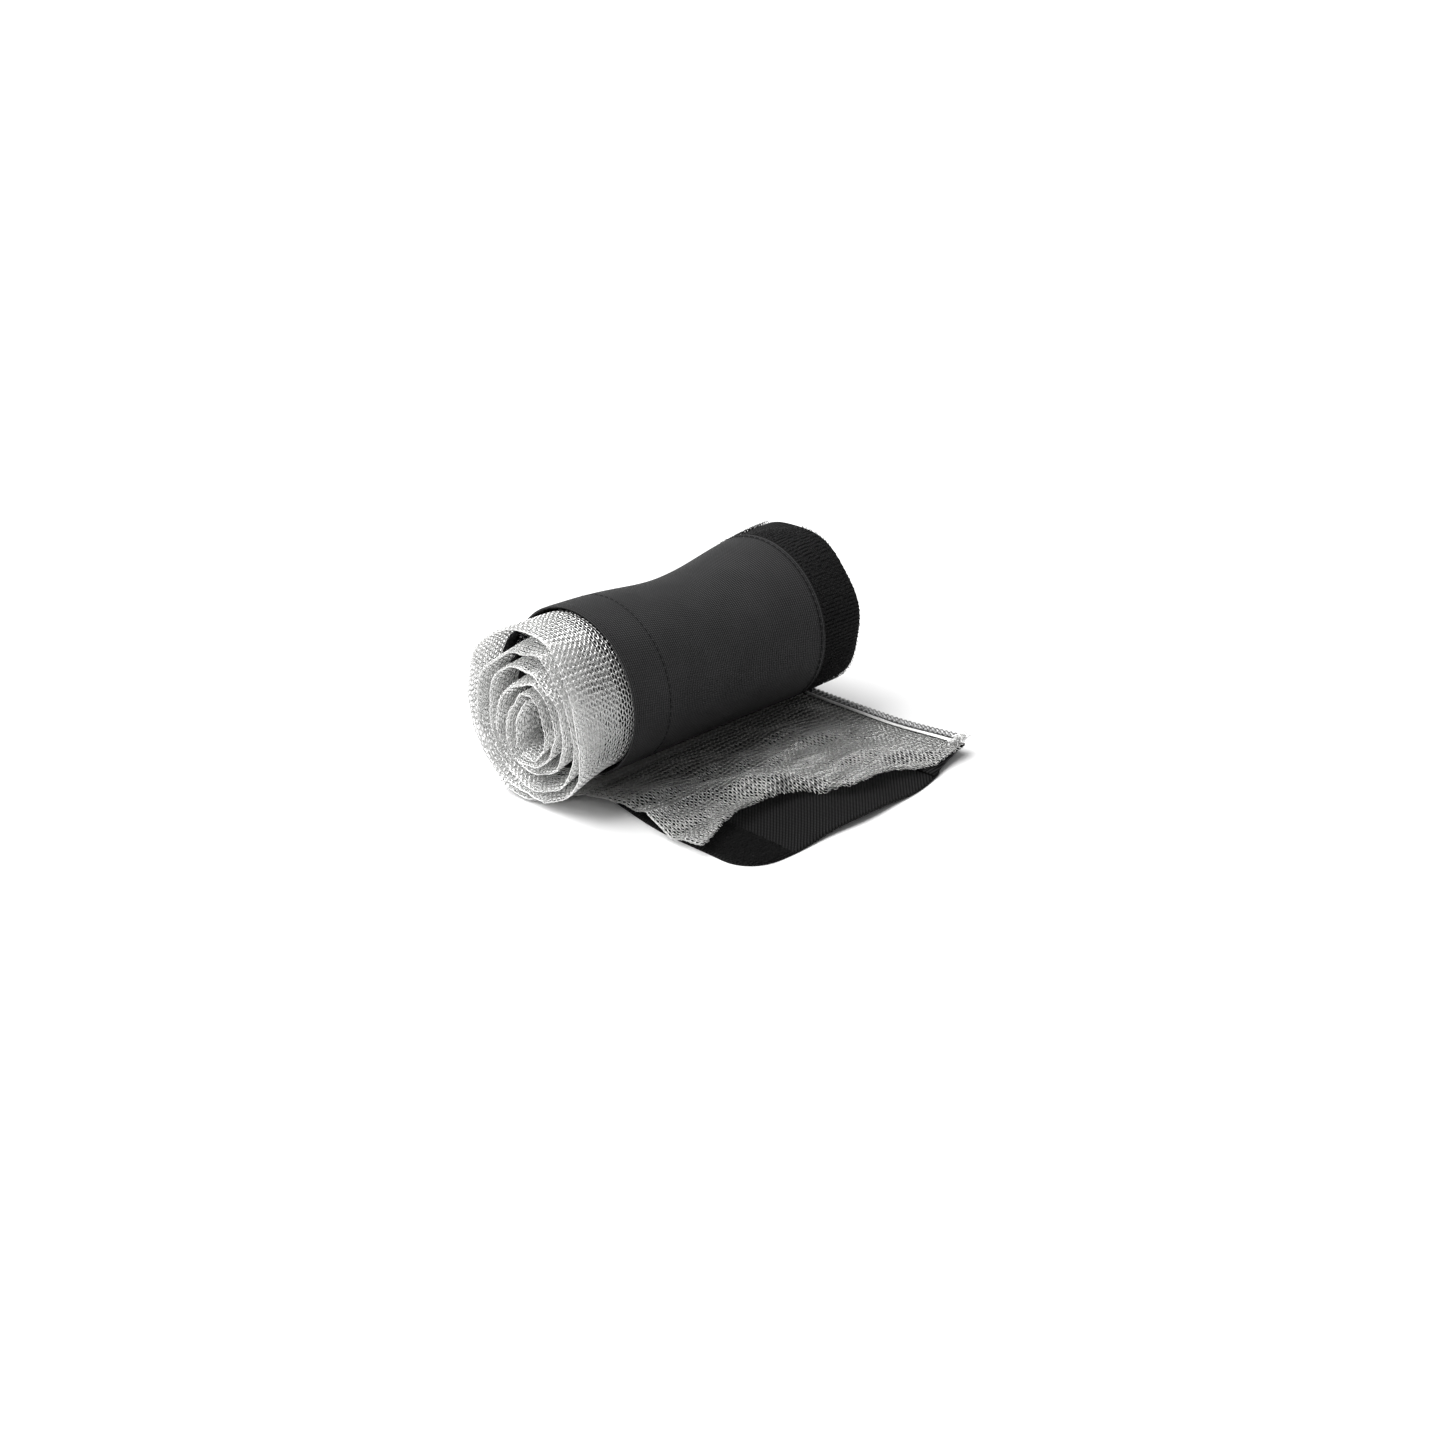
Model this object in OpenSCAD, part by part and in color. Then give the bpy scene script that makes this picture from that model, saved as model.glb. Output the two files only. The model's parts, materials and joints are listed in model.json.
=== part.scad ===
// Rolled sleeve wrap: a long strip of black woven cover cloth, lined with knitted wire mesh, with
// hook tape along one edge and loop tape along the other, wound into a loose roll on its side.
// The outer end of the strip lies on the ground as a tail that bends at two creases.
//
// Frame: X runs along the strip towards the tail's free end, Y along the axis of the roll from
// the liner's free edge to the hook tape, and Z is up. The origin is on the underside of the
// roll, below its axis and in the middle of the cover's width.
//
// Every layer is placed by its depth below the cover's outer face, which is the face that the
// strip rests on. A depth grows upwards in the tail and inwards in the roll.

/* [Cover] */
// Width of the woven cover
cover_width = 125; // [80:1:200]
// Thickness of the woven cover
cover_thickness = 0.8; // [0.5:0.1:1.5]

/* [Liner] */
// Thickness of the knitted wire mesh, two loose plies together
mesh_thickness = 2.7; // [1:0.1:2.7]
// How far the liner's free edge stands out past the cover in the roll
mesh_overhang = 31; // [10:1:60]
// The same at the roll end of the tail, where the liner is pulled back
tail_mesh_overhang = 6; // [2:1:60]
// The same at the free end of the tail
end_mesh_overhang = 3; // [0:1:60]

/* [Tapes] */
// Width of the hook tape
hook_width = 30; // [20:1:50]
// Thickness of the hook tape with its hooks
hook_thickness = 1.2; // [0.8:0.1:2]
// Width of the hook tape that is sewn under the cover's edge
hook_margin = 5; // [4:0.5:10]
// Width of the loop tape
loop_width = 25; // [20:1:50]
// Thickness of the loop tape with its pile
loop_thickness = 1.4; // [0.8:0.1:2.5]

/* [Sewn edge of the liner] */
// Width of the cord of folded mesh along the sewn edge
cord_width = 2.8; // [1.5:0.1:5]
// Width of the groove between the cord and the flat band
groove_width = 1.4; // [0.8:0.1:3]
// Width of the flat metal band beside the groove
band_width = 2.6; // [1.5:0.1:6]
// Thickness of the flat metal band
band_thickness = 0.8; // [0.5:0.1:1.5]

/* [Stitching] */
// Width of a stitch's thread
thread_width = 0.7; // [0.4:0.1:1.2]
// How far a stitch stands above what it is sewn on
thread_height = 0.25; // [0.15:0.05:0.5]
// Share of a seam's length that shows thread
stitch_share = 0.72; // [0.4:0.02:0.9]
// Distance of a seam from the edge of the tape it holds
seam_inset = 2.5; // [1.5:0.5:3.5]
// Distance from one stitch across the groove to the next
cross_stitch_pitch = 3.2; // [2:0.2:6]

/* [Roll] */
// Outer diameter of the roll, where its outer turn leaves the ground
roll_diameter = 91; // [88:1:140]
// Distance from one turn to the next
turn_pitch = 6.6; // [6.6:0.1:10]
// Number of turns in the roll
turns = 5.75; // [2:0.25:5.75]
// Where the hook tape's first length ends on the outer turn, in degrees from the ground
hook_joint = 155; // [90:5:200]

/* [Tail] */
// Length of the cover in the tail, from below the roll's axis
tail_length = 121; // [100:1:200]
// How much shorter the tail is at its hook tape
end_slant = 13; // [0:1:20]
// Distance across the strip, from the cover's free edge, at which its end starts to slant
slant_from = 100; // [40:5:115]
// Where the liner is cut, short of the cover's end, on its free side
mesh_setback = 21; // [5:1:30]
// Distance of the first crease from below the roll's axis
first_crease = 22; // [18:1:24]
// Distance of the second crease from below the roll's axis
second_crease = 68; // [50:1:80]
// How far the tail's free end runs to the side
tail_skew = 6; // [0:1:12]
// Radius of the cover's free corner
corner_radius = 18; // [5:1:24]

/* [Hidden] */
// Clearance between one layer and the next
layer_gap = 0.05;
// Clearance of each body from a crease
crease_gap = 0.15;
// Angle of one facet of the roll, and the number of stitches on one
facet = 10;
stitches_per_facet = 2;
stitch_pitch = 4;

roll_r = roll_diameter / 2;

cover_left = -cover_width / 2;
cover_right = cover_width / 2;
hook_left = cover_right - hook_margin;
hook_right = hook_left + hook_width;
loop_right = cover_left + loop_width;
cord_left = hook_right - cord_width;
mesh_right = cord_left - groove_width;
band_left = mesh_right - band_width;

tape_depth = cover_thickness + layer_gap;
loop_top = tape_depth + loop_thickness;
mesh_depth = tape_depth + max(loop_thickness, hook_thickness) + thread_height + layer_gap;
band_depth = mesh_depth + mesh_thickness + layer_gap;
edge_top = band_depth + band_thickness;
cord_thickness = edge_top - mesh_depth;
mesh_length = tail_length - mesh_setback;
right_length = tail_length - end_slant;
slant_left = cover_left + slant_from;
// The angle of the inner end, with fewer turns if the roll is too small for them.
most_turns = (roll_r - edge_top - 1) / turn_pitch;
inner_end = facet * floor(min(turns, most_turns) * 360 / facet);

cover_colour = [0.07, 0.07, 0.075];
hook_colour = [0.04, 0.04, 0.045];
loop_colour = [0.05, 0.05, 0.05];
wire_colour = [0.78, 0.78, 0.77];
edge_colour = [0.85, 0.85, 0.84];
black_thread = [0.03, 0.03, 0.03];
grey_thread = [0.6, 0.6, 0.6];

// A corner of the roll's section at an angle from the ground and a depth below the outer face.
function corner_point(angle, depth) =
    let (r = roll_r - turn_pitch * angle / 360 - depth)
    [-r * sin(angle), roll_r - r * cos(angle)];

// A point of the roll's faceted section at any angle.
function roll_point(angle, depth) =
    let (corner = facet * floor(angle / facet))
    let (share = (angle - corner) / facet)
    (1 - share) * corner_point(corner, depth) + share * corner_point(corner + facet, depth);

// The angles of a layer's corners, from an angle on a facet or between two, to a corner.
function turn_angles(from, to) =
    concat([from], [for (a = [facet * (floor(from / facet) + 1) : facet : to]) a]);

// Stands an outline in X and Z up across the strip, from one place in Y to another.
module across(left, right)
    translate([0, right, 0])
        rotate([90, 0, 0])
            linear_extrude(right - left)
                children();

// One layer of the roll, from an angle to an angle; lead is how far it runs on along the ground.
module roll_layer(from, to, depth, thickness, left, right, lead = 0) {
    angles = concat(turn_angles(from, to - facet / 2), [to]);
    count = len(angles);
    outer = [for (a = angles) roll_point(a, depth)];
    inner = [for (i = [count - 1 : -1 : 0]) roll_point(angles[i], depth + thickness)];
    on_ground = lead > 0 ? [[lead, depth + thickness], [lead, depth]] : [];
    across(left, right)
        polygon(concat(outer, inner, on_ground));
}

// One layer of the tail, from its outline seen from above.
module tail_layer(depth, thickness, outline)
    translate([0, 0, depth])
        linear_extrude(thickness)
            polygon(outline);

// How far the tail has run to the side at a distance along it.
function skew(x) = -tail_skew * max(0, x - first_crease) / (tail_length - first_crease);

// Where the tail's slanting free end is, at a place across the strip.
function end_x(y) =
    tail_length - end_slant * max(0, y - slant_left) / (hook_right - slant_left);

// The liner's overhang at a distance along the tail: it is pulled in by the second crease.
function overhang(x) =
    x < second_crease
        ? tail_mesh_overhang + (end_mesh_overhang - tail_mesh_overhang)
            * (x - first_crease) / (second_crease - first_crease)
        : end_mesh_overhang;

// A four-sided outline between two places across the strip, along the tail.
function strip(x0, x1, left, right, end_left = 0, end_right = 0) = [
    [x0, left + skew(x0)],
    [x1 + end_left, left + skew(x1)],
    [x1 + end_right, right + skew(x1)],
    [x0, right + skew(x0)]
];

// An outline that ends at the tail's slanting free end.
function to_end(x0, left, right) = strip(x0, 0, left, right, end_x(left), end_x(right));

// The same with its corner rounded, for what lies along the cover's free edge.
function to_round_end(x0, right) =
    let (edge = cover_left + skew(tail_length))
    concat(
        [[x0, cover_left + skew(x0)]],
        [for (a = [0 : 15 : 90]) [
            tail_length - corner_radius * (1 - sin(a)),
            edge + corner_radius * (1 - cos(a))
        ]],
        right > slant_left ? [[tail_length, slant_left + skew(tail_length)]] : [],
        [[end_x(right), right + skew(tail_length)], [x0, right + skew(x0)]]
    );

// One stitch along the strip: a length of thread lying on a facet.
module stitch(length, at_y)
    translate([-length / 2, at_y - thread_width / 2, 0])
        cube([length, thread_width, thread_height]);

// A row of stitches on one turn of the roll. On the outer face they stand outwards.
module roll_stitches(from, to, depth, at_y, outwards = false)
    for (a = [from : facet : to - facet], k = [0 : stitches_per_facet - 1]) {
        start = corner_point(a, depth);
        end = corner_point(a + facet, depth);
        middle = start + (end - start) * (k + 0.5) / stitches_per_facet;
        pitch = norm(end - start) / stitches_per_facet;
        tilt = atan2(end[1] - start[1], end[0] - start[0]);
        translate([middle[0], 0, middle[1]])
            rotate([0, -tilt, 0])
                mirror([0, 0, outwards ? 0 : 1])
                    stitch(pitch * stitch_share, at_y);
    }

// A row of stitches along the tail, beside its skewed edge.
module tail_stitches(x0, x1, depth, at_y) {
    count = floor((x1 - x0) / stitch_pitch);
    pitch = (x1 - x0) / count;
    for (k = [0 : count - 1]) {
        x = x0 + (k + 0.5) * pitch;
        translate([x, skew(x), depth])
            stitch(pitch * stitch_share, at_y);
    }
}

module cover_roll()
    color(cover_colour)
        roll_layer(0, inner_end, 0, cover_thickness, cover_left, cover_right, first_crease);

module cover_tail()
    color(cover_colour)
        tail_layer(0, cover_thickness,
            strip(first_crease + crease_gap, second_crease - crease_gap, cover_left, cover_right));

module cover_tail_end()
    color(cover_colour)
        tail_layer(0, cover_thickness, to_round_end(second_crease + crease_gap, cover_right));

module wire_mesh_roll()
    color(wire_colour)
        roll_layer(0, inner_end, mesh_depth, mesh_thickness,
            cover_left - mesh_overhang, mesh_right, first_crease);

module wire_mesh_tail() {
    x0 = first_crease + crease_gap;
    x1 = second_crease - crease_gap;
    color(wire_colour)
        tail_layer(mesh_depth, mesh_thickness, [
            [x0, cover_left + skew(x0) - overhang(x0)],
            [x1, cover_left + skew(x1) - overhang(x1)],
            [x1, mesh_right + skew(x1)],
            [x0, mesh_right + skew(x0)]
        ]);
}

module wire_mesh_tail_end() {
    x0 = second_crease + crease_gap;
    color(wire_colour)
        tail_layer(mesh_depth, mesh_thickness, [
            [x0, cover_left + skew(x0) - end_mesh_overhang],
            [mesh_length, cover_left + skew(mesh_length) - end_mesh_overhang],
            [right_length, mesh_right + skew(right_length)],
            [x0, mesh_right + skew(x0)]
        ]);
}

// The hook tape lies below the cover's edge and stands out past it.
module hook_tape_second_length()
    color(hook_colour)
        roll_layer(hook_joint + 0.4, inner_end, tape_depth, hook_thickness,
            hook_left, hook_right);

module hook_tape_roll()
    color(hook_colour)
        roll_layer(0, hook_joint, tape_depth, hook_thickness, hook_left, hook_right,
            first_crease);

module hook_tape_tail()
    color(hook_colour)
        tail_layer(tape_depth, hook_thickness,
            strip(first_crease + crease_gap, second_crease - crease_gap, hook_left, hook_right));

module hook_tape_tail_end()
    color(hook_colour)
        tail_layer(tape_depth, hook_thickness,
            to_end(second_crease + crease_gap, hook_left, hook_right));

module loop_tape_roll()
    color(loop_colour)
        roll_layer(0, inner_end, tape_depth, loop_thickness, cover_left, loop_right,
            first_crease);

module loop_tape_tail()
    color(loop_colour)
        tail_layer(tape_depth, loop_thickness,
            strip(first_crease + crease_gap, second_crease - crease_gap, cover_left, loop_right));

module loop_tape_tail_end()
    color(loop_colour)
        tail_layer(tape_depth, loop_thickness,
            to_round_end(second_crease + crease_gap, loop_right));

// The cord is the liner's folded edge, beside the mesh.
module edge_cord_roll()
    color(edge_colour)
        roll_layer(0, inner_end, mesh_depth, cord_thickness, cord_left, hook_right,
            first_crease);

module edge_cord_tail()
    color(edge_colour)
        tail_layer(mesh_depth, cord_thickness,
            strip(first_crease + crease_gap, second_crease - crease_gap, cord_left, hook_right));

module edge_cord_tail_end()
    color(edge_colour)
        tail_layer(mesh_depth, cord_thickness,
            strip(second_crease + crease_gap, right_length, cord_left, hook_right));

// The flat band lies on the mesh, along its edge.
module edge_band_roll()
    color(edge_colour)
        roll_layer(0, inner_end, band_depth, band_thickness, band_left, mesh_right,
            first_crease);

module edge_band_tail()
    color(edge_colour)
        tail_layer(band_depth, band_thickness,
            strip(first_crease + crease_gap, second_crease - crease_gap, band_left, mesh_right));

module edge_band_tail_end()
    color(edge_colour)
        tail_layer(band_depth, band_thickness,
            strip(second_crease + crease_gap, right_length - 2, band_left, mesh_right));

// Seam that holds the hook tape to the cover: it shows on the outer face of the outer turn.
module hook_seam_thread_roll()
    color(black_thread)
        roll_stitches(2 * facet, 360 - 3 * facet, 0, cover_right - seam_inset, outwards = true);

// The two seams of the loop tape.
module loop_seam_thread_roll()
    color(black_thread)
        for (y = [cover_left + seam_inset, loop_right - seam_inset])
            roll_stitches(0, 360, loop_top, y);

module loop_seam_thread_tail()
    color(black_thread)
        for (y = [cover_left + seam_inset, loop_right - seam_inset])
            tail_stitches(first_crease + crease_gap, second_crease - crease_gap, loop_top, y);

module loop_seam_thread_tail_end()
    color(black_thread)
        for (y = [cover_left + seam_inset, loop_right - seam_inset])
            tail_stitches(second_crease + crease_gap, tail_length - corner_radius, loop_top, y);

// One stitch across the groove, from the band to the cord.
module cross_stitch()
    translate([-thread_width / 2, mesh_right - 0.8, 0])
        cube([thread_width, groove_width + 1.6, thread_height]);

module edge_stitches(x0, x1) {
    count = floor((x1 - x0) / cross_stitch_pitch);
    for (k = [0 : count - 1]) {
        x = x0 + (k + 0.5) * (x1 - x0) / count;
        translate([x, skew(x), edge_top])
            cross_stitch();
    }
}

module edge_seam_thread_roll()
    color(grey_thread)
        for (a = [0 : facet : 360 - facet], share = [0.25, 0.75]) {
            start = corner_point(a, edge_top);
            end = corner_point(a + facet, edge_top);
            middle = start + (end - start) * share;
            translate([middle[0], 0, middle[1]])
                rotate([0, -atan2(end[1] - start[1], end[0] - start[0]), 0])
                    mirror([0, 0, 1])
                        cross_stitch();
        }

module edge_seam_thread_tail()
    color(grey_thread)
        edge_stitches(first_crease + crease_gap, second_crease - crease_gap);

module edge_seam_thread_tail_end()
    color(grey_thread)
        edge_stitches(second_crease + crease_gap, right_length - 3);

cover_roll();
cover_tail();
cover_tail_end();
wire_mesh_roll();
wire_mesh_tail();
wire_mesh_tail_end();
hook_tape_second_length();
hook_tape_roll();
hook_tape_tail();
hook_tape_tail_end();
loop_tape_roll();
loop_tape_tail();
loop_tape_tail_end();
edge_cord_roll();
edge_cord_tail();
edge_cord_tail_end();
edge_band_roll();
edge_band_tail();
edge_band_tail_end();
hook_seam_thread_roll();
loop_seam_thread_roll();
loop_seam_thread_tail();
loop_seam_thread_tail_end();
edge_seam_thread_roll();
edge_seam_thread_tail();
edge_seam_thread_tail_end();
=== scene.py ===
"""Looks of the rolled sleeve wrap. Sizes are in millimetres until build() turns them into metres.

A place on the strip is (u, y, depth): u runs along the strip from below the roll's axis, positive
on the tail and negative into the roll; y runs across the strip; depth is measured from the outer
face of the cover, as in the CAD. place() turns it into a point of the row frame.
"""

import json
import math

import bpy
import numpy as np
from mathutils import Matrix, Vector


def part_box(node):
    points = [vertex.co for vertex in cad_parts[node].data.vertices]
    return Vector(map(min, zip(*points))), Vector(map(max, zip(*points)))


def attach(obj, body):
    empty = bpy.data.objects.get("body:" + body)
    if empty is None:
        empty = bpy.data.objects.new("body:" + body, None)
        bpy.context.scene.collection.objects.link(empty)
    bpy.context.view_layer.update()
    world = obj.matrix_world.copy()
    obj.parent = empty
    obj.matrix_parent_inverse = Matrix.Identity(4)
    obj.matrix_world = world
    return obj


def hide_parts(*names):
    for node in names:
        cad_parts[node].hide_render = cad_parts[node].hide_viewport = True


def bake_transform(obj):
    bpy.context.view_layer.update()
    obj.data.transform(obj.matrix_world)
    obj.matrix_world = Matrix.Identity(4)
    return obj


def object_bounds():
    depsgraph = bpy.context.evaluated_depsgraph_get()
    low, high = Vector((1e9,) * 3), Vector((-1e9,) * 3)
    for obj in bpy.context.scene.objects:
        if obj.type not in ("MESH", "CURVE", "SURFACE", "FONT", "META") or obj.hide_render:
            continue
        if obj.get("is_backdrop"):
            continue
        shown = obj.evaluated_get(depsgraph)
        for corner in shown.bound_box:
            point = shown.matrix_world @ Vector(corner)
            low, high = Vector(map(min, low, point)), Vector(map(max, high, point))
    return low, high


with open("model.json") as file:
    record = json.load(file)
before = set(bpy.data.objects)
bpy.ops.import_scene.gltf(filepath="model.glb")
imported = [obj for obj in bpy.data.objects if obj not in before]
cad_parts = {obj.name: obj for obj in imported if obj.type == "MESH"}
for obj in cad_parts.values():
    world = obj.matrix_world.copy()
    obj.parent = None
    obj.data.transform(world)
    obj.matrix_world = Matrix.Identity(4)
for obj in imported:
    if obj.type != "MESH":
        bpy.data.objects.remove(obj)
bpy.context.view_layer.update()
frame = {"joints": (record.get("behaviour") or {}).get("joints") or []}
rng = np.random.default_rng(11)
MM = 0.001
TAU = 2 * math.pi

# ---------------------------------------------------------------- camera
AZIMUTH, ELEVATION = math.radians(45), math.radians(24.5)
AIM = Vector((38.5, -6.6, 26.9)) * MM
# In metres: how far off the camera is, and how wide a stretch it sees there.
DISTANCE, FIELD = 1.1, 0.677
SENSOR = 36
back = Vector(
    (
        math.sin(AZIMUTH) * math.cos(ELEVATION),
        -math.cos(AZIMUTH) * math.cos(ELEVATION),
        math.sin(ELEVATION),
    )
)
camera_data = bpy.data.cameras.new("camera")
camera = bpy.data.objects.new("camera", camera_data)
bpy.context.collection.objects.link(camera)
bpy.context.scene.camera = camera
camera.location = AIM + back * DISTANCE
camera.rotation_mode = "QUATERNION"
camera.rotation_quaternion = (-back).to_track_quat("-Z", "Y")
camera_data.sensor_width = SENSOR
camera_data.lens = SENSOR * DISTANCE / FIELD
camera_data.clip_start, camera_data.clip_end = 0.01, 100


# ---------------------------------------------------------------- sizes from the CAD
def span(node, axis):
    low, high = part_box(node)
    return low[axis] / MM, high[axis] / MM


# From one turn of the roll to the next, and the number of turns, as in the CAD.
PITCH, TURNS = 6.6, 5.75
R = span("cover_roll", 2)[1] / 2 + PITCH / 4
COVER_L, COVER_R = span("cover_roll", 1)
COVER_T = span("cover_tail", 2)[1]
MESH_L, MESH_R = span("wire_mesh_roll", 1)
MESH_LOW, MESH_TOP = span("wire_mesh_tail", 2)
HOOK_L, HOOK_R = span("hook_tape_roll", 1)
HOOK_LOW, HOOK_TOP = span("hook_tape_tail", 2)
LOOP_R = span("loop_tape_roll", 1)[1]
LOOP_LOW = span("loop_tape_tail", 2)[0]
CORD_L = span("edge_cord_roll", 1)[0]
BAND_L = span("edge_band_roll", 1)[0]
EDGE_TOP = span("edge_band_tail", 2)[1]
TAIL_END = span("cover_tail_end", 0)[1]
MESH_END = span("wire_mesh_tail_end", 0)[1]
CREASES = [j["pos_m"][0] / MM for j in frame["joints"]]
# The tail's end: how much shorter it is at the hook tape, where across the strip that starts, how
# far it runs to the side, and the radius of its free corner.
SLANT, SLANT_FROM = 13.0, COVER_L + 100
SKEW = 6.0
CORNER = 18.0
# How far the winding has turned, in degrees, where the hook tape's first length ends.
HOOK_JOINT = 155
OVERHANG = COVER_L - MESH_L
ROLLED = R * TURNS * TAU - PITCH * (TURNS * TAU) ** 2 / (2 * TAU)
# Where the roll's length passes into the tail's near length, and that into its far length.
SPLIT_ROLL, SPLIT_TAIL = 8.0, (CREASES[0] + CREASES[1]) / 2


def smooth(low, high, v):
    """0 at low, 1 at high, and smooth between them; low may be the greater."""
    t = np.clip((v - low) / (high - low), 0, 1)
    return t * t * (3 - 2 * t)


def smooth_ramp(t, sharpness=14):
    """Zero below 0, then rising in a straight line, with a soft start."""
    return np.log1p(np.exp(sharpness * t)) / sharpness


def bell(v, centre, width):
    return np.exp(-(((v - centre) / width) ** 2))


def angle_at(s):
    """The winding angle at a length of strip inside the roll."""
    return (R - np.sqrt(np.maximum(R * R - PITCH * s * 2 / TAU, 0))) * TAU / PITCH


def length_at(angle):
    """The length of strip inside the roll at a winding angle."""
    return R * angle - PITCH * angle**2 / (2 * TAU)


def end_of(y):
    """Where the tail's slanting end is."""
    end = TAIL_END - SLANT * smooth_ramp((y - SLANT_FROM) / (HOOK_R - SLANT_FROM))
    from_corner = np.clip(CORNER - (y - COVER_L), 0, CORNER)
    rounding = CORNER - np.sqrt(np.maximum(CORNER**2 - from_corner**2, 0))
    return end - rounding + 0.5 * np.sin(y / 7 + 0.5) * smooth(COVER_L + 5, COVER_L + 30, y)


def cloth_wave(u, y):
    """How far the tail's cloth stands off the ground."""
    free = smooth(60, TAIL_END, u)
    return free * (
        1.4 * (1 + np.sin(y / 14 + 1.2)) * smooth(COVER_L, COVER_L + 30, y)
        + 1.2 * smooth(55, 88, y)
    )


def past_cover(y):
    """0 at the cover's free edge, 1 at the liner's."""
    return np.clip((COVER_L - y) / OVERHANG, 0, 1.2)


# How far the liner's free edge stands off the even spiral, at degrees of the winding.
# The values of the inner turns, which can't be seen well, are made up.
OUTER_TURN = [
    (0, 1.5), (25, 3), (60, 2), (80, -1.5), (100, -1.5), (120, 0), (155, 0), (180, 2), (205, 3),
    (240, 0), (255, -1), (272, -1), (288, 2), (302, 6), (330, 7), (345, 7.5), (362, 3), (400, 0.5),
    (470, 2), (490, -1), (510, -2.5), (540, -0.5), (558, 3.5), (575, 2), (600, 0.5), (640, 1),
    (680, 3.5), (720, 0.5), (780, -1.5), (850, 1), (900, -2), (960, 1.5), (1020, 0.5), (1090, -1),
    (1150, 1), (1230, -2), (1300, 1.2), (1400, -0.8), (1500, 1), (1650, 0),
]


def loose(angle, y):
    """How far the liner stands off the even spiral, most at its free edge."""
    degrees, off = zip(*OUTER_TURN)
    rough = 0.35 * np.sin(5.7 * angle) + 0.3 * np.sin(9.1 * angle + 1)
    return np.interp(np.degrees(angle), degrees, off) * past_cover(y) ** 1.4 + rough * past_cover(y)


# The roll's outline, seen from its side: pinched at the waist, wider at the hook tape.
WAIST, WAIST_AT, WAIST_WIDTH = 0.115, 6, 34
FLARE = 0.085
# How far the liner's free edge sags in the inner turns, and how far it is drawn towards the tail.
SAG, DRAWN = 9.4, 3


def place(u, y, depth):
    """Points of the row frame, in millimetres."""
    u, y, depth = np.broadcast_arrays(np.asarray(u, float), y, depth)
    angle = angle_at(np.maximum(-u, 0))
    left = past_cover(y)
    lift = (1 - np.cos(angle)) / 2
    even = R - PITCH * angle / TAU - depth
    # The hook tape's free edge is wavy.
    started = smooth(0.3, 0.9, angle)
    tape_edge = smooth(60, 84, y) * 0.8 * np.sin(7.3 * angle + 1) * started * (even / R) ** 2
    waist = WAIST * bell(y, WAIST_AT, WAIST_WIDTH) - FLARE * smooth(25, 80, y)
    rho = even * (1 - lift * waist)
    rho = rho + loose(angle, y) + tape_edge
    # Past the first turn the liner sags, and its turns are taller and narrower towards the core.
    inner = smooth(0.93, 1.12, angle / TAU)
    sag = inner * left
    tall = 1 + sag * 2.3 / (even + 1) + 0.1 * inner * smooth(16, 4, even)
    core = smooth(24, 3, even) * inner
    rho = rho + (2.2 * smooth(30, 3, even) + 2.4 * smooth(45 - ROLLED, 16 - ROLLED, u)) * sag
    squeezed = 1 - core * (0.28 - 0.32 * np.cos(angle))
    x = -rho * np.sin(angle) * squeezed + DRAWN * sag * (1 - even / R)
    z = R - rho * np.cos(angle) * tall - SAG * sag * (1 - 0.85 * even / R)
    # The tail lies on the ground and runs to the side.
    out = np.maximum(u, 0)
    across = np.clip((HOOK_R - y) / (HOOK_R - COVER_L), 0, 1.2)
    along = np.maximum(out - CREASES[0], 0) / (TAIL_END - CREASES[0])
    side = -(2 * SKEW * across - 4) * along - 4 * across * bell(out, 62, 32) * smooth(0, 20, out)
    return np.stack([x + out, y + side, z + cloth_wave(out, y)], -1)


def mesh_wave(u, y):
    """How far the liner stands off the cover in the tail."""
    ramp = smooth(8, 40, u)
    corner = 1.5 * bell(y, COVER_L + 10, 16) * smooth(60, 95, u)
    ridge = 4.2 * bell(u - 0.25 * (y + 20), 67, 11) * bell(y, -12, 40)
    hollow = 2.2 * bell(u, 92, 6) * bell(y, 2, 12) * smooth(45, 80, u)
    small = 1.2 * np.sin(TAU * (0.017 * u + 0.011 * y) + 1)
    small = small + 0.8 * np.sin(TAU * (0.029 * u - 0.023 * y))
    winding = TAU * (0.07 * u + 0.01 * y) + 2.5 * np.sin(y / 19)
    furrows = 0.45 * np.sin(winding) * smooth(70, 40, y)
    rim = 0.7 * np.sin(u / 4.2) * bell(y, COVER_L + 2, 9)
    return ramp * (corner + ridge - hollow + small + furrows + rim + 1.6) * smooth(82, 62, y)


# How far the liner's free edge stands past the cover's, at places along the strip.
PAST_COVER = [
    (-14, 31), (0, 30), (6, 26), (11, 17), (16, 10), (23, 8), (32, 5), (45, 2.5), (58, 2.5),
    (76, 4), (93, 5),
]


def mesh_left(u):
    """Where the liner's free edge is."""
    places, past = zip(*PAST_COVER)
    return COVER_L - np.interp(u, places, past) - 1.2 * np.sin(u / 17) * (np.asarray(u) < -20)


# Where along the strip the liner is cut, at distances across it from the cover's free edge.
CUT = [
    (-12, 97), (0, 95), (14, 88), (30, 84), (43, 83), (56, 84), (63, 86.5), (68, 90), (74, 98),
    (80, 102), (90, 104), (106, 102), (115, 107), (127, 112), (146, 111),
]
SHORTEST_SCRAP = 6


def within_cut(u, y):
    """True where the liner's wire is left, without scraps too short to hold."""
    places, end = zip(*CUT)
    left = u < np.interp(y - COVER_L, places, end)
    for row in left:
        ends = np.flatnonzero(np.diff(np.concatenate([[0], row, [0]])))
        for start, stop in ends.reshape(-1, 2):
            if stop - start < SHORTEST_SCRAP:
                row[start:stop] = False
    return left


def mesh_place(u, y, depth):
    """As place(), for the liner, which stands off the cover in the tail."""
    p = place(u, y, depth)
    p[..., 2] += mesh_wave(np.maximum(np.broadcast_to(u, p.shape[:-1]), 0), y)
    return p


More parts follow.
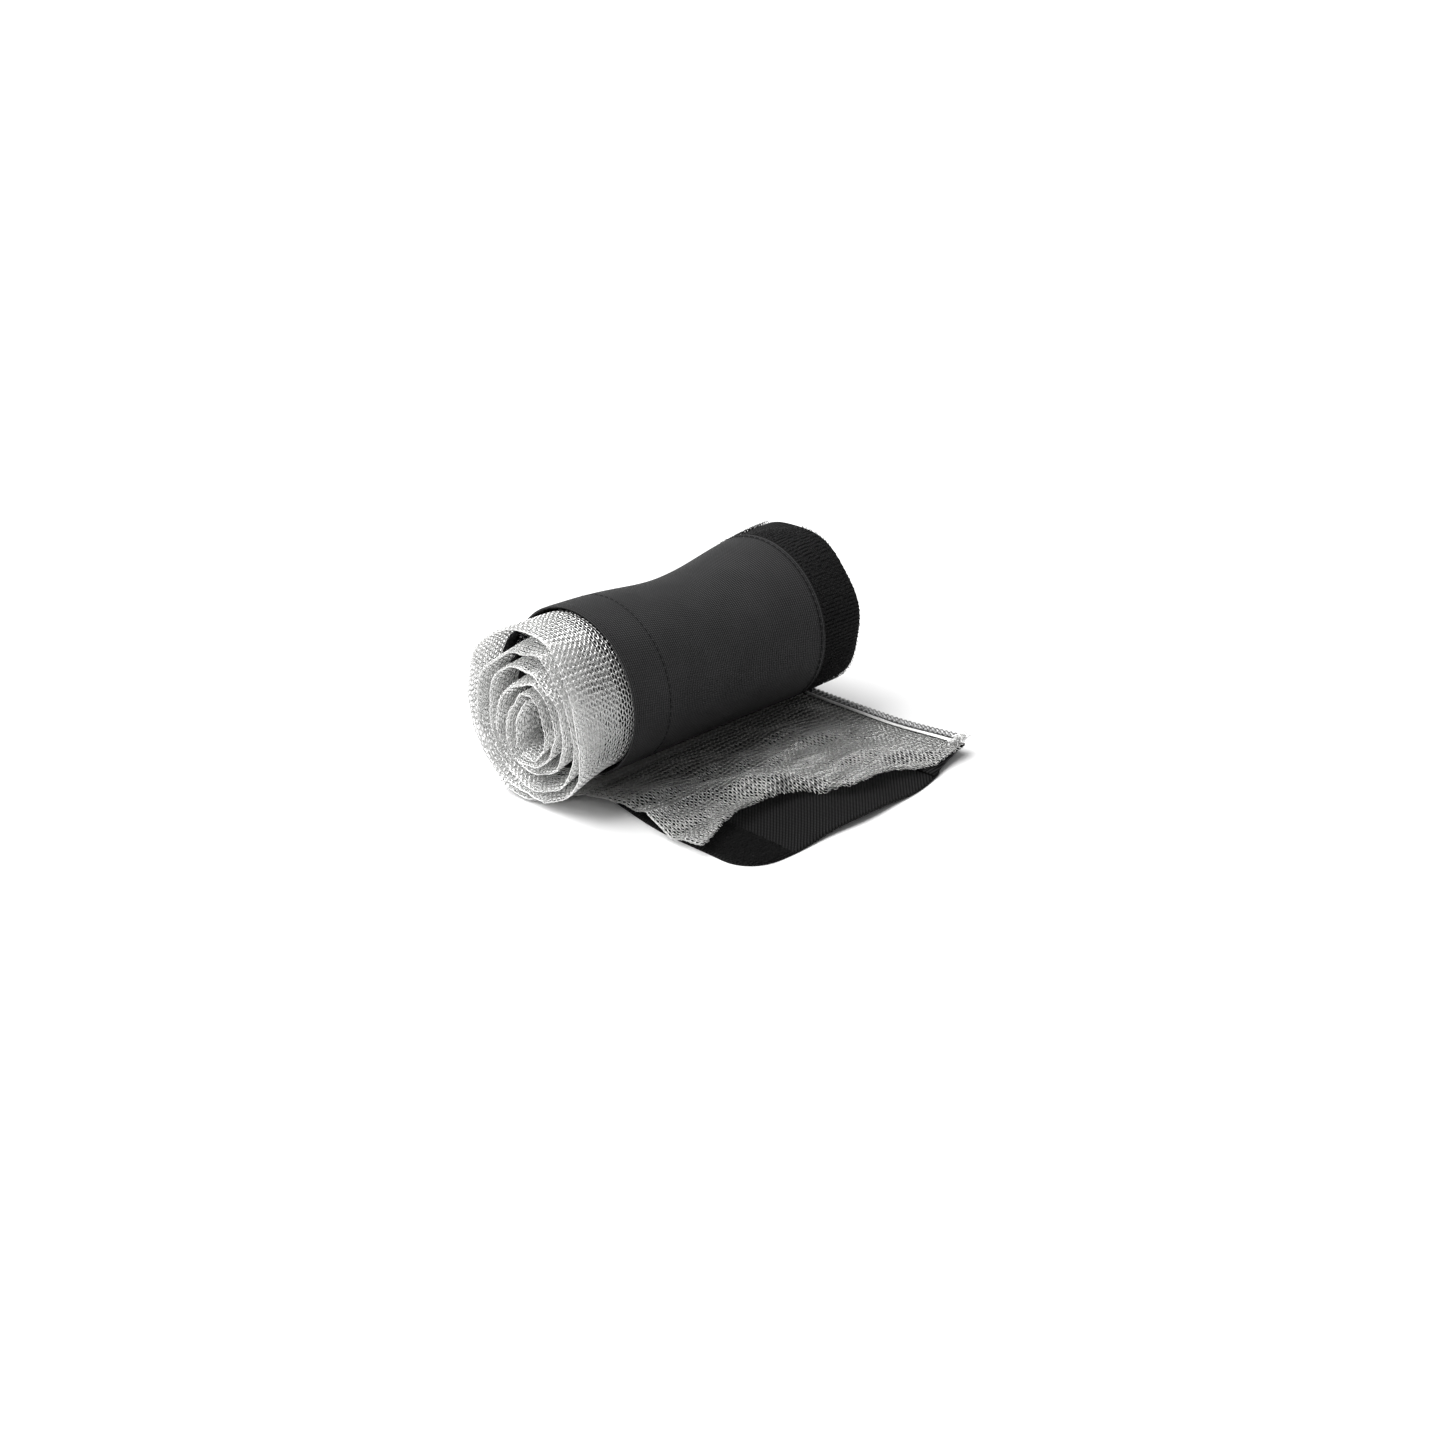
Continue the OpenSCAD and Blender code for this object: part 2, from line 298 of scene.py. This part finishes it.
# ---------------------------------------------------------------- mesh building
def build(name, verts, quads, uv=None, material=None):
    """A smooth mesh from points in millimetres and four-cornered faces."""
    mesh = bpy.data.meshes.new(name)
    quads = np.asarray(quads, np.int32).reshape(-1, 4)
    mesh.vertices.add(len(verts))
    mesh.vertices.foreach_set("co", (np.asarray(verts) * MM).astype(np.float32).ravel())
    mesh.loops.add(quads.size)
    mesh.loops.foreach_set("vertex_index", quads.ravel())
    mesh.polygons.add(len(quads))
    mesh.polygons.foreach_set("loop_start", np.arange(0, quads.size, 4, dtype=np.int32))
    mesh.update(calc_edges=True)
    mesh.polygons.foreach_set("use_smooth", np.ones(len(quads), bool))
    if uv is not None:
        layer = mesh.uv_layers.new(name="strip")
        layer.data.foreach_set("uv", np.asarray(uv, np.float32)[quads.ravel()].ravel())
    if material:
        mesh.materials.append(material)
    obj = bpy.data.objects.new(name, mesh)
    bpy.context.collection.objects.link(obj)
    return obj


def sheet_parts(us, ys, outer, inner):
    """A closed sheet: us and ys are grids of the same shape, outer and inner its two depths."""
    nu, ny = us.shape
    verts = np.concatenate(
        [place(us, ys, outer).reshape(-1, 3), place(us, ys, inner).reshape(-1, 3)]
    )
    uv = np.concatenate([np.stack([us, ys], -1).reshape(-1, 2)] * 2)
    ids = np.arange(nu * ny).reshape(nu, ny)
    a, b, c, d = ids[:-1, :-1], ids[1:, :-1], ids[1:, 1:], ids[:-1, 1:]
    top = np.stack([a, b, c, d], -1).reshape(-1, 4)
    bottom = np.stack([a, d, c, b], -1).reshape(-1, 4) + nu * ny
    rim = np.concatenate([ids[:-1, 0], ids[-1, :-1], ids[:0:-1, -1], ids[0, :0:-1]])
    after = np.roll(rim, -1)
    side = np.stack([after, rim, rim + nu * ny, after + nu * ny], -1)
    return verts, np.concatenate([top, bottom, side]), uv


def tube_parts(points, side, radius, sides=4):
    """Tubes along rows of points; side is a direction that is never along a tube."""
    count, length, _ = points.shape
    tangent = np.gradient(points, axis=1)
    tangent /= np.linalg.norm(tangent, axis=-1, keepdims=True) + 1e-9
    cross = np.cross(tangent, side)
    cross /= np.linalg.norm(cross, axis=-1, keepdims=True) + 1e-9
    normal = np.cross(cross, tangent)
    turn = TAU * (np.arange(sides) + 0.5) / sides
    radius = np.broadcast_to(radius, (count, length))[..., None, None]
    ring = points[:, :, None] + radius * (
        np.cos(turn)[:, None] * normal[:, :, None] + np.sin(turn)[:, None] * cross[:, :, None]
    )
    ids = np.arange(count * length * sides).reshape(count, length, sides)
    nxt = np.roll(ids, -1, axis=2)
    quads = np.stack([ids[:, :-1], ids[:, 1:], nxt[:, 1:], nxt[:, :-1]], -1).reshape(-1, 4)
    return ring.reshape(-1, 3), quads


def join_parts(parts):
    """One set of points and faces from several."""
    verts, quads, uvs, base = [], [], [], 0
    for part in parts:
        verts.append(part[0])
        quads.append(part[1] + base)
        uvs.append(part[2] if len(part) > 2 else np.zeros((len(part[0]), 2)))
        base += len(part[0])
    return np.concatenate(verts), np.concatenate(quads), np.concatenate(uvs)


def inward(u, y, depth, surface):
    """The direction into the roll, or up from the tail."""
    d = surface(u, y, np.asarray(depth) + 0.05) - surface(u, y, np.asarray(depth) - 0.05)
    return d / (np.linalg.norm(d, axis=-1, keepdims=True) + 1e-9)


def threads(u, y, depth, radius, surface=place, sides=4, left=None):
    """Tubes from rows of strip places, only where left is true."""
    u, y, depth = np.broadcast_arrays(u, y, depth)
    verts, quads = tube_parts(surface(u, y, depth), inward(u, y, depth, surface), radius, sides)
    if left is None:
        return verts, quads
    quads = quads[np.repeat(left[:, :-1] & left[:, 1:], sides)]
    used, quads = np.unique(quads, return_inverse=True)
    return verts[used], quads.reshape(-1, 4)


# The pieces on each of the strip's three lengths, and what the CAD adds to its nodes' names there.
SEWN_ON = {"roll": [], "near": [], "far": []}
NODE = {"roll": "_roll", "near": "_tail", "far": "_tail_end"}


def finish_piece(obj, nodes, where):
    """Lists a piece under its length of the strip, hides the CAD nodes it stands for, and hangs a piece
    of the roll on the roll's body; other pieces are baked in place.
    """
    SEWN_ON[where].append(obj)
    if where == "roll":
        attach(obj, "roll")
    else:
        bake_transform(obj)
    if nodes:
        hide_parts(*nodes)
    return obj


def lengths(where, step, last=None):
    """Places along the strip of one of its three lengths."""
    if where == "roll":
        return np.linspace(-ROLLED, SPLIT_ROLL, int((ROLLED + SPLIT_ROLL) / step) + 1)
    start, end = (SPLIT_ROLL, SPLIT_TAIL) if where == "near" else (SPLIT_TAIL, last or TAIL_END)
    return np.linspace(start, end, int((end - start) / step) + 2)


# ---------------------------------------------------------------- materials
def material(name):
    m = bpy.data.materials.new(name)
    m.use_nodes = True
    tree = m.node_tree
    tree.nodes.clear()
    out = tree.nodes.new("ShaderNodeOutputMaterial")
    shader = tree.nodes.new("ShaderNodeBsdfPrincipled")
    tree.links.new(shader.outputs[0], out.inputs[0])
    return m, tree, shader


def math_node(tree, operation, a, b=None):
    node = tree.nodes.new("ShaderNodeMath")
    node.operation = operation
    for i, v in enumerate((a, b)):
        if v is None:
            continue
        if isinstance(v, (int, float)):
            node.inputs[i].default_value = v
        else:
            tree.links.new(v, node.inputs[i])
    return node.outputs[0]


def strip_uv(tree):
    uv = tree.nodes.new("ShaderNodeUVMap")
    uv.uv_map = "strip"
    split = tree.nodes.new("ShaderNodeSeparateXYZ")
    tree.links.new(uv.outputs[0], split.inputs[0])
    return split.outputs[0], split.outputs[1], uv.outputs[0]


def noise(tree, vector, scale):
    n = tree.nodes.new("ShaderNodeTexNoise")
    n.inputs["Scale"].default_value = scale
    n.inputs["Detail"].default_value = 3
    if vector is not None:
        tree.links.new(vector, n.inputs["Vector"])
    return n.outputs[0]


def ramp(tree, value, low, high):
    """Shades from one (position, colour) to another."""
    node = tree.nodes.new("ShaderNodeValToRGB")
    tree.links.new(value, node.inputs[0])
    elements = node.color_ramp.elements
    for element, (position, colour) in zip((elements[0], elements[-1]), (low, high)):
        element.position = position
        element.color = (*colour, 1)
    return node.outputs[0]


def bump(tree, height, strength, distance, shader):
    node = tree.nodes.new("ShaderNodeBump")
    node.inputs["Strength"].default_value = strength
    node.inputs["Distance"].default_value = distance
    tree.links.new(height, node.inputs["Height"])
    tree.links.new(node.outputs[0], shader.inputs["Normal"])


def woven(name, dark, light, rib, dot, roughness, turned=False, twill=False, depth=0.0004):
    """Cloth of ribs along the strip, across it or slanting over it, each a row of yarn crossings.
    rib is the distance from one rib to the next and dot that from one crossing to the next."""
    m, tree, shader = material(name)

    def calc(operation, a, b=None):
        return math_node(tree, operation, a, b)

    u, v, uv = strip_uv(tree)
    if turned:
        u, v = v, u
    if twill:
        half = math.sqrt(0.5)
        less, more = calc("SUBTRACT", u, v), calc("ADD", u, v)
        u, v = calc("MULTIPLY", less, half), calc("MULTIPLY", more, half)
    across = calc("DIVIDE", v, rib)
    rib_no = calc("FLOOR", across)
    rib_height = calc("ABSOLUTE", calc("SINE", calc("MULTIPLY", across, math.pi)))
    shift = calc("MULTIPLY", rib_no, 0.3 * math.pi)
    along = calc("ADD", calc("MULTIPLY", u, TAU / dot), shift)
    yarn = calc("ADD", calc("MULTIPLY", calc("SINE", along), 0.5), 0.5)
    yarn_height = calc("ADD", calc("MULTIPLY", yarn, 0.32), 0.68)
    height = calc("MULTIPLY", calc("POWER", rib_height, 0.6), yarn_height)
    patchy = calc("MULTIPLY", noise(tree, uv, 0.06), 0.4)
    # Painted shade: the colour runs from dark in the grooves between ribs and yarn crossings to light on
    # their tops, as light falls on the raised weave; patchy adds tone that differs at random.
    painted_groove_shade = calc("MULTIPLY", height, calc("ADD", patchy, 0.8))
    colour = ramp(tree, painted_groove_shade, (0.1, dark), (0.95, light))
    tree.links.new(colour, shader.inputs["Base Color"])
    shader.inputs["Roughness"].default_value = roughness
    shader.inputs["Specular IOR Level"].default_value = 0.08
    bump(tree, height, 1.0, depth, shader)
    return m


def metal(name, colour, roughness, metallic):
    m, tree, shader = material(name)
    dull = tuple(c * 0.82 for c in colour)
    mixed = ramp(tree, noise(tree, None, 900), (0.3, dull), (0.7, colour))
    tree.links.new(mixed, shader.inputs["Base Color"])
    shader.inputs["Metallic"].default_value = metallic
    shader.inputs["Roughness"].default_value = roughness
    return m


def plain(name, dark, light, roughness, scale=400, shine=0.15):
    m, tree, shader = material(name)
    mixed = ramp(tree, noise(tree, None, scale), (0.3, dark), (0.7, light))
    tree.links.new(mixed, shader.inputs["Base Color"])
    shader.inputs["Specular IOR Level"].default_value = shine
    shader.inputs["Roughness"].default_value = roughness
    return m


def grey(v):
    return (v, v, v * 1.02)


COVER = woven("cover_cloth", grey(0.0003), grey(0.058), 1.15, 1.2, 0.6, depth=0.0006)
INSIDE = woven(
    "cover_cloth_inside", grey(0.0002), grey(0.014), 1.35, 1.4, 0.6, twill=True, depth=0.0006
)
TAPE = woven("tape_base", grey(0.0002), grey(0.018), 1.9, 1.2, 0.7, turned=True, depth=0.0009)
HOOKS = plain("hooks", grey(0.003), grey(0.02), 0.35, shine=0.3)
PILE = plain("pile", grey(0.002), grey(0.012), 0.8)
BLACK = plain("black_thread", grey(0.003), grey(0.01), 0.5, shine=0.05)
GREY = plain("grey_thread", grey(0.4), grey(0.66), 0.45, shine=0.4)
WIRE = metal("wire", (0.92, 0.92, 0.91), 0.28, metallic=0.85)
# The tail's wire is the same wire as WIRE, given a darker colour: painted shade for the tail, which lies
# partly in the roll's shade.
TAIL_WIRE_PAINTED_SHADE = metal("tail_wire_painted_shade", (0.58, 0.58, 0.57), 0.3, metallic=0.9)
# A dark sheet's colour: painted shade for the liner's inner plies and turns, which are wire mesh lying
# in shade.
SHADED = plain("wire_inside_painted_shade", grey(0.015), grey(0.045), 0.7, 1500)
BRIGHT = metal("edge_wire", (0.88, 0.88, 0.87), 0.34, metallic=0.6)
CORD = metal("cord_wire", (0.36, 0.36, 0.36), 0.3, metallic=0.85)

# ---------------------------------------------------------------- cover
# The grooves that the two seams pull into the cloth, and points close enough to show them.
GROOVES = (LOOP_R - 2.5, COVER_R - 2.8)
seam_grid = np.array([-0.8, -0.4, 0, 0.4, 0.8])
ys_cover = np.unique(
    np.concatenate(
        [
            COVER_L + 18 * (1 - np.cos(np.linspace(0, math.pi / 2, 9))),
            np.linspace(COVER_L + 18, COVER_R - 4.2, 36),
            GROOVES[0] + seam_grid,
            GROOVES[1] + seam_grid,
            COVER_R - np.array([0, 0.4, 1.2]),
        ]
    )
)


def hem(y):
    """The cover is thicker where it is folded, along both long edges."""
    return 0.3 * (smooth(COVER_L + 7, COVER_L + 5.5, y) + smooth(COVER_R - 3.6, COVER_R - 2.4, y))


sheets = []
LONG = {"roll": ROLLED + SPLIT_ROLL, "near": SPLIT_TAIL - SPLIT_ROLL, "far": TAIL_END - SPLIT_TAIL}
for where in NODE:
    if where == "far":
        q = np.linspace(0, 1, 34)[:, None]
        us = SPLIT_TAIL + q * (end_of(ys_cover)[None] - SPLIT_TAIL)
        ys = np.broadcast_to(ys_cover, us.shape)
    else:
        us, ys = np.meshgrid(lengths(where, 2.2), ys_cover, indexing="ij")
    rolled = where == "roll"
    groove = 0.3 * (bell(ys, GROOVES[0], 0.5) + bell(ys, GROOVES[1], 0.5)) * rolled
    cover = build(
        "cover_cloth" + NODE[where],
        *sheet_parts(us, ys, groove - 0.15 * hem(ys) * rolled, COVER_T + hem(ys) * 0.6),
        material=COVER if rolled else INSIDE,
    )
    finish_piece(cover, ["cover" + NODE[where]], where)
    sheets.append((cover, where, COVER_R - COVER_L, LONG[where]))


# ---------------------------------------------------------------- tapes
def tape(name, node, where, left, right, low, high, us=None, slot="hook_tape"):
    """A tape's woven base, from left to right across the strip and from low to high in depth."""
    ys_ = np.linspace(left, right, 9)
    if where == "far":
        q = np.linspace(0, 1, 30)[:, None]
        us_ = SPLIT_TAIL + q * (end_of(ys_)[None] - SPLIT_TAIL - 0.4)
        ys_ = np.broadcast_to(ys_, us_.shape)
    else:
        us_, ys_ = np.meshgrid(lengths(where, 2.2) if us is None else us, ys_, indexing="ij")
    obj = build(name, *sheet_parts(us_, ys_, low, high), material=TAPE)
    sheets.append((obj, where, right - left, us_.max() - us_.min()))
    return finish_piece(obj, [node], where)


JOINT_U = -length_at(math.radians(HOOK_JOINT))
HOOK_BASE = (HOOK_L, HOOK_R, HOOK_LOW + 0.1, HOOK_TOP)
LOOP_BASE = (COVER_L + 0.5, LOOP_R, LOOP_LOW, LOOP_LOW + 0.6)
for where in NODE:
    node = "hook_tape" + NODE[where]
    if where == "roll":
        first_length = np.linspace(JOINT_U + 0.3, SPLIT_ROLL, 60)
        second_length = np.linspace(-ROLLED, JOINT_U - 0.1, 380)
        tape(node + "_base", node, where, *HOOK_BASE, first_length)
        tape("hook_tape_second_base", "hook_tape_second_length", where, *HOOK_BASE, second_length)
    else:
        tape(node + "_base", node, where, *HOOK_BASE)
    tape("loop_tape_base" + NODE[where], "loop_tape" + NODE[where], where, *LOOP_BASE, slot="loop_tape")


def hooks(us, ys, reach):
    """Small hooks on the outer face of the tape, leaning along the strip."""
    u, y = [a.ravel() for a in np.meshgrid(us, ys, indexing="ij")]
    u = u + rng.normal(0, 0.08, u.shape)
    y = y + rng.normal(0, 0.12, y.shape)
    lean = np.where(rng.random(u.shape) < 0.5, -1, 1)[:, None]
    t = np.array([0, 0.45, 0.85, 1.0, 0.78])[None]
    bow = np.array([0, 0.05, 0.2, 0.55, 0.85])[None]
    return u[:, None] + lean * bow, y[:, None] + 0 * t, HOOK_LOW + 0.15 - reach * t + 0 * lean


# From one row of hooks to the next and from hook to hook, and the hooks' thickness.
ROW, GAP = 1.9, 1.05
HOOK_RADIUS = 0.16
hook_ys = np.arange(COVER_R + 0.9, HOOK_R - 0.6, GAP)
outer_u = np.arange(-length_at(math.radians(345)), SPLIT_ROLL, ROW)
u, y, d = hooks(outer_u, hook_ys, 1.15)
smooth_end = -length_at(np.radians(160 + 24 * (y[:, 0] - COVER_R) / (HOOK_R - COVER_R)))
keep = (u[:, 0] > JOINT_U + 0.6) | (u[:, 0] < smooth_end)
first = keep & (u[:, 0] > JOINT_U)
second = keep & ~first
for name, pick in (("hooks_roll", first), ("hooks_second", second)):
    wires = threads(u[pick], y[pick], d[pick], HOOK_RADIUS, sides=3)
    finish_piece(build(name, *wires, material=HOOKS), [], "roll")
hook_rows = {
    "inner": ("roll", np.arange(-ROLLED, outer_u[0], ROW), hook_ys[-4:]),
    "tail": ("near", np.arange(SPLIT_ROLL, SPLIT_TAIL, ROW), hook_ys),
    "tail_end": ("far", np.arange(SPLIT_TAIL, TAIL_END - SLANT - 1, ROW), hook_ys),
}
for name, (where, rows, places) in hook_rows.items():
    wires = threads(*hooks(rows, places, 0.8), HOOK_RADIUS, sides=3)
    finish_piece(build("hooks_" + name, *wires, material=HOOKS), [], where)


def pile(us, ys):
    """Small soft loops on the inner face of the loop tape."""
    count = len(us)
    turn = rng.random(count)[:, None] * TAU
    size = rng.uniform(0.35, 0.75, count)[:, None]
    t = np.linspace(0, math.pi, 5)[None]
    return (
        us[:, None] + size * np.cos(t) * np.cos(turn),
        ys[:, None] + size * np.cos(t) * np.sin(turn),
        LOOP_LOW + 0.5 + size * 1.25 * np.sin(t),
    )


for where, count in (("near", 2400), ("far", 7400)):
    low, high = (SPLIT_ROLL, SPLIT_TAIL) if where == "near" else (SPLIT_TAIL, TAIL_END - 0.6)
    us, ys = rng.uniform(low, high, count), rng.uniform(COVER_L + 0.8, LOOP_R - 0.3, count)
    ok = us < end_of(ys) - 0.8
    obj = build("loop_pile" + NODE[where], *threads(*pile(us[ok], ys[ok]), 0.09, sides=3), material=PILE)
    finish_piece(obj, [], where)


# ---------------------------------------------------------------- knitted liner
# From one course to the next, the number of wales across the liner, the wire's radius, how far each
# ply is from the middle of the two, and how uneven the loops are.
COURSE, WALES = 3.1, 58
WIRE_R = 0.21
PLY = 0.75
UNEVEN = 0.16
MESH_MIDDLE = (MESH_LOW + MESH_TOP) / 2 - 0.2


def knit(us, reach, step):
    """Courses of looped wire at places us along the strip. Each runs across the upper ply from
    reach wales in, round the folded free edge and back across the lower ply."""
    t = np.linspace(-reach * TAU, reach * TAU, 2 * reach * step + 1)[None]
    wales = np.abs(t) / TAU
    us = us[:, None]
    slow = 0.5 * np.sin(us / 9 + wales * 0.7) + 0.5 * np.sin(us / 5.3 - wales * 0.9 + 2)
    e = t / TAU + 0.21 * np.sin(2 * t) + 0.04 * slow
    loop_no = (np.arange(t.shape[1]) + step // 2) // step
    rough = rng.normal(0, UNEVEN, (2, len(us), 2 * reach + 2))[:, :, loop_no]
    u = us + 0.68 * COURSE * np.cos(t) + 0.4 * slow + rough[0]
    wale = (MESH_R - mesh_left(u)) / WALES
    y = mesh_left(u) + wale * (np.sqrt(e * e + 0.09) - 0.3) + 0.8 * rough[1]
    ply = e / np.sqrt(e * e + 0.25)
    thick = PLY * np.where(u < 0, 0.8 - 0.15 * past_cover(y), 1.1)
    depth = MESH_MIDDLE + thick * ply + 0.18 * np.cos(2 * t) * np.sign(ply + 1e-9)
    return u, y, depth


def knit_piece(name, where, us, reach, step, nodes):
    u, y, depth = knit(us, reach, step)
    left = within_cut(u, y) if where == "far" else None
    # Painted shade: the tail's pieces get the darker copy of the same wire.
    wire = WIRE if where == "roll" else TAIL_WIRE_PAINTED_SHADE
    radius = WIRE_R + 0.07 * (1 - past_cover(y)) * (where == "roll")
    obj = build(name, *threads(u, y, depth, radius, mesh_place, left=left), material=wire)
    return finish_piece(obj, nodes, where)


# In the roll only this many wales from the free edge can be seen.
SHOWN = 15
courses = np.arange(-ROLLED + 16, SPLIT_ROLL, COURSE)
near_courses = np.arange(courses[-1] + COURSE, SPLIT_TAIL, COURSE)
far_courses = np.arange(near_courses[-1] + COURSE, MESH_END + 6, COURSE)
for i, group in enumerate(np.array_split(courses, 5)):
    knit_piece(f"wire_mesh_roll_{i + 1}", "roll", group, SHOWN, 10, ["wire_mesh_roll"])
knit_piece("wire_mesh_tail_loops", "near", near_courses, WALES, 12, ["wire_mesh_tail"])
for i, group in enumerate(np.array_split(far_courses, 2)):
    knit_piece(f"wire_mesh_tail_end_{i + 1}", "far", group, WALES, 12, ["wire_mesh_tail_end"])

# The liner between the visible margins of the roll, drawn as a dark sheet between its plies: painted
# shade standing in for the shaded inner plies and turns of the liner.
INNER_L = COVER_L - 14
us, ys = np.meshgrid(lengths("roll", 3.0), np.linspace(INNER_L, MESH_R, 30), indexing="ij")
ripple = 0.25 * np.sin(us / 3.1) * (ys < COVER_L)
under = MESH_MIDDLE - 0.1 + 1.5 * smooth(COVER_L - 2, COVER_L - 12, ys) + ripple
core = build("wire_mesh_roll_shade_sheet", *sheet_parts(us, ys, under, under + 0.2), material=SHADED)
finish_piece(core, [], "roll")
sheets.append((core, "roll", MESH_R - INNER_L, LONG["roll"]))


# ---------------------------------------------------------------- sewn edge of the liner
EDGE_MIDDLE = (MESH_LOW + EDGE_TOP) / 2
EDGE_CENTRE = (CORD_L + HOOK_R) / 2 + 0.6


def edge_parts(us, strands, wires):
    """The twisted cord at the liner's very edge, each strand one thread or a bundle of wires."""
    parts = []
    for j in range(strands):
        turn = TAU * (us / 8.4 + j / strands)
        y, depth = EDGE_CENTRE + 0.85 * np.cos(turn), EDGE_MIDDLE + 0.5 + 0.85 * np.sin(turn)
        if wires == 1:
            parts.append(threads(us[None], y[None], depth[None], 0.85, sides=8))
            continue
        for k in range(wires):
            own = turn * 2.3 + TAU * k / wires
            wire_y, wire_depth = y + 0.6 * np.cos(own), depth + 0.6 * np.sin(own)
            parts.append(threads(us[None], wire_y[None], wire_depth[None], 0.44, sides=5))
    return parts


def band_parts(us):
    """A flat bundle of wires lying side by side, crowned in the middle."""
    parts = []
    for k in range(6):
        y = BAND_L - 0.1 + k * 0.36 + 0.06 * np.sin(us / 6 + k)
        crown = 0.35 * math.sin(math.pi * (k + 0.5) / 6)
        parts.append(threads(us[None], y[None], (EDGE_TOP - 0.7 + crown + 0 * us)[None], 0.26, sides=6))
    return parts


def cross_stitches(us):
    """Stitches over the groove between the band and the cord."""
    t = np.linspace(0, 1, 7)[None]
    y = MESH_R - 0.9 + t * (CORD_L - MESH_R + 1.6)
    u = us[:, None] + 0.7 * (t - 0.5)
    return threads(u, y, EDGE_TOP + 0.1 + 0.25 * np.sin(math.pi * t), 0.2, sides=5)


for where in NODE:
    us = lengths(where, 0.7 if where != "roll" else 1.0, last=TAIL_END - SLANT - 1.5)
    strands = edge_parts(us, 3, 1 if where == "roll" else 6)
    cord = build("edge_cord_wires" + NODE[where], *join_parts(strands), material=CORD)
    finish_piece(cord, ["edge_cord" + NODE[where]], where)
    band = build("edge_band_wires" + NODE[where], *join_parts(band_parts(us)), material=BRIGHT)
    finish_piece(band, ["edge_band" + NODE[where]], where)
    stitched = np.arange(us[0] + 1, us[-1] - 2, 3.2)
    sewn = build("edge_stitches" + NODE[where], *cross_stitches(stitched), material=GREY)
    finish_piece(sewn, ["edge_seam_thread" + NODE[where]], where)

# The sewn edge's wires stand out loose where they are cut, all of them above the cover.
LOOSE_LOW = 1.6
t = np.linspace(0, 1, 12)[None]
count = 60
start_y = rng.uniform(BAND_L - 2, HOOK_R + 0.5, (count, 1))
turn, size = rng.uniform(0, TAU, (2, count, 1)) * [[[1]], [[0.25]]]
u = TAIL_END - SLANT - 3.5 + 3.6 * t + size * np.sin(TAU * t * 0.8 + turn)
y = start_y + 1.6 * size * (np.cos(TAU * t * 0.8 + turn) - np.cos(turn)) * t
start_depth = EDGE_MIDDLE + 0.5 + rng.uniform(-1.5, 2.2, (count, 1))
depth = np.maximum(start_depth + 1.5 * size * np.sin(TAU * t + turn * 3) * t, LOOSE_LOW)
loose_ends = build("edge_loose_ends", *threads(u, y, depth, 0.2, sides=5), material=BRIGHT)
finish_piece(loose_ends, [], "far")


# ---------------------------------------------------------------- seam threads
def seam(us, y, depth, out):
    """Stitches along the strip at one place across it; out is the side they stand on."""
    t = np.linspace(-1, 1, 5)[None]
    u = us[:, None] + 1.35 * t
    return threads(u, y + 0 * t, depth - out * 0.22 * (1 - t**4) + out * 0.1, 0.15, sides=5)


# From one stitch to the next, and how far in from an edge a seam is.
STITCH, SEAM_IN = 3.6, 2.5
first_turn = np.arange(-length_at(TAU), SPLIT_ROLL, STITCH)
hook_seam = build("hook_seam_stitches", *seam(first_turn, COVER_R - SEAM_IN, -0.1, 1), material=BLACK)
finish_piece(hook_seam, ["hook_seam_thread_roll"], "roll")
for where in NODE:
    if where == "roll":
        us = first_turn
    else:
        low, high = (SPLIT_ROLL, SPLIT_TAIL) if where == "near" else (SPLIT_TAIL, TAIL_END - CORNER)
        us = np.arange(low, high, STITCH)
    rows = []
    for y in (COVER_L + SEAM_IN, LOOP_R - SEAM_IN):
        rows.append(seam(us, y, LOOP_LOW + 1.0, -1))
        if where == "roll":
            rows.append(seam(us, y, 0.15, 1))
    obj = build("loop_seam_stitches" + NODE[where], *join_parts(rows), material=BLACK)
    finish_piece(obj, ["loop_seam_thread" + NODE[where]], where)

# Each sheet is kept with its width and length as cut. For a cover, the threads, wires, hooks and pile
# sewn to it on its length are listed; the list is not used further.
for obj, where, wide, long in sheets:
    cut = [o for o, *_ in sheets]
    sewn = [o for o in SEWN_ON[where] if o not in cut] if obj.name.startswith("cover") else []

# ---------------------------------------------------------------- floor and light
floor_mesh = bpy.data.meshes.new("floor")
FLOOR = 6
corners = [(-FLOOR, -FLOOR, 0), (FLOOR, -FLOOR, 0), (FLOOR, FLOOR, 0), (-FLOOR, FLOOR, 0)]
floor_mesh.from_pydata(corners, [], [(0, 1, 2, 3)])
floor = bpy.data.objects.new("floor", floor_mesh)
bpy.context.collection.objects.link(floor)
floor_material, tree, shader = material("floor")
pale = ramp(tree, noise(tree, None, 3), (0.3, (0.86, 0.86, 0.86)), (0.7, (0.88, 0.88, 0.88)))
tree.links.new(pale, shader.inputs["Base Color"])
shader.inputs["Roughness"].default_value = 0.7
floor_mesh.materials.append(floor_material)
floor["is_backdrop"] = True

world = bpy.data.worlds.new("world")
bpy.context.scene.world = world
world.use_nodes = True
background = world.node_tree.nodes["Background"]
background.inputs["Color"].default_value = (1, 1, 1, 1)
background.inputs["Strength"].default_value = 0.36

sun_data = bpy.data.lights.new("sun", "SUN")
sun_data.energy, sun_data.angle = 5.0, math.radians(60)
sun = bpy.data.objects.new("sun", sun_data)
bpy.context.collection.objects.link(sun)
SUN_AZIMUTH, SUN_ELEVATION = math.radians(-55), math.radians(58)
sun_from = Vector(
    (
        math.sin(SUN_AZIMUTH) * math.cos(SUN_ELEVATION),
        -math.cos(SUN_AZIMUTH) * math.cos(SUN_ELEVATION),
        math.sin(SUN_ELEVATION),
    )
)
sun.rotation_mode = "QUATERNION"
sun.rotation_quaternion = (-sun_from).to_track_quat("-Z", "Y")
bpy.context.scene.view_settings.view_transform = "Standard"

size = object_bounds()
